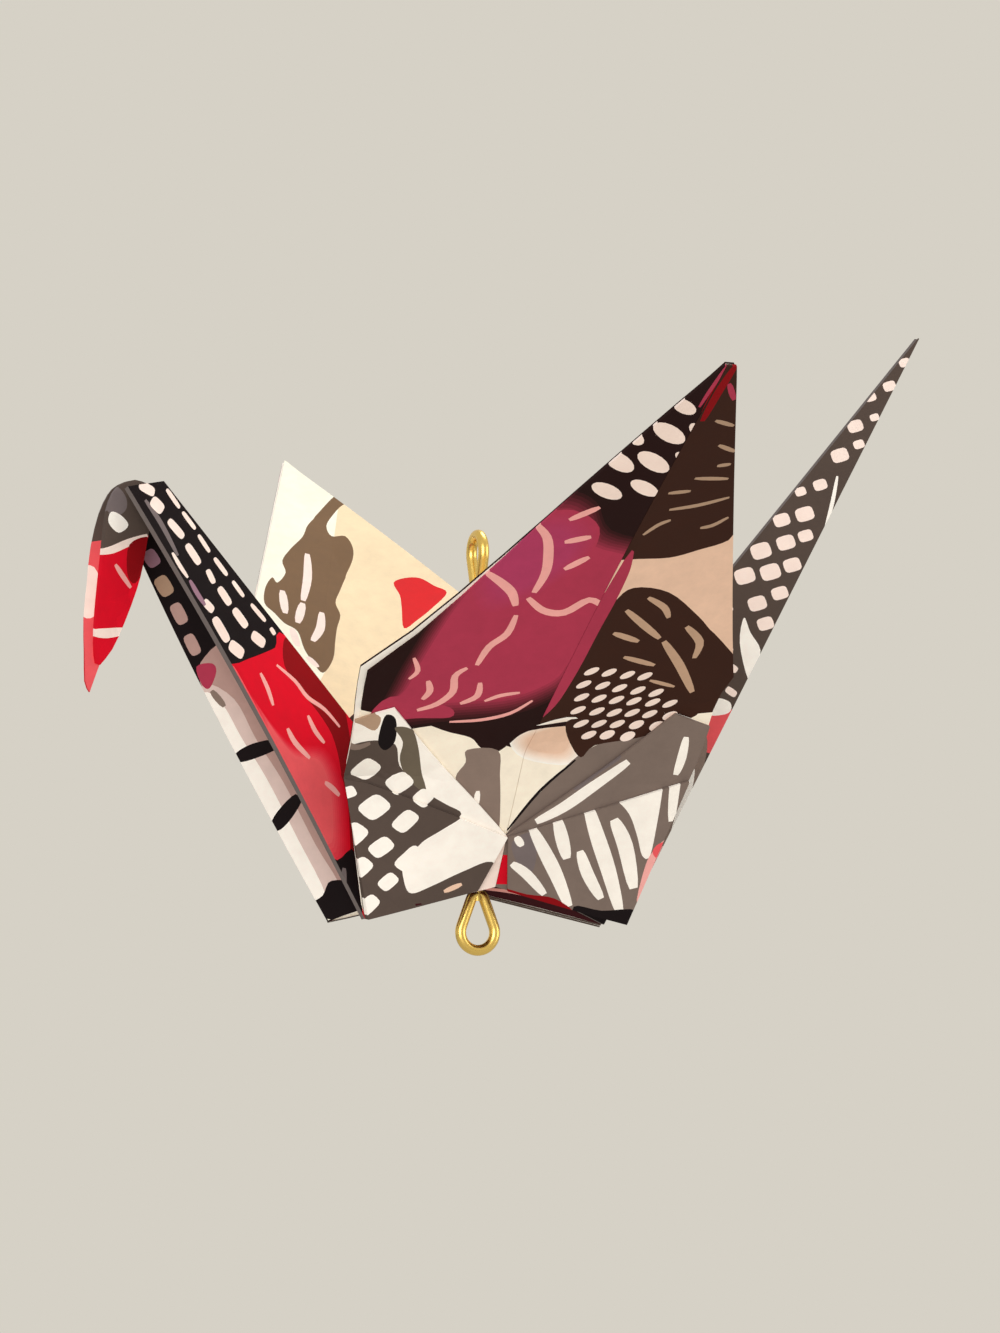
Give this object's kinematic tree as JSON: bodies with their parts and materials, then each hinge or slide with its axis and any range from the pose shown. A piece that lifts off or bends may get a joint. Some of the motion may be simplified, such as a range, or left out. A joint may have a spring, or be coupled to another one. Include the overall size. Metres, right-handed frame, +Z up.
{
  "type": "hanging folded paper crane on a wire eye pin",
  "caption": "Folded paper crane with raised wings, a bent-down head and an upright tail, threaded on a straight wire with a closed eye at each end so that it hangs level.",
  "frame": {"origin": "the centre of the wire pin's upper eye, from which the crane hangs", "axes": "+Z up along the pin; the head points toward -X and the tail toward +X; the wings point toward -Y and +Y"},
  "size_m": [0.0571, 0.074, 0.0408],
  "materials": {
    "printed_paper": "printed mulberry paper, soft matte with a faint fibre grain",
    "gilt_wire": "drawn gilt wire, smooth and bright"
  },
  "bodies": {
    "root": {"folded_paper": "printed_paper", "eye_pin": "gilt_wire"}
  },
  "joints": []
}
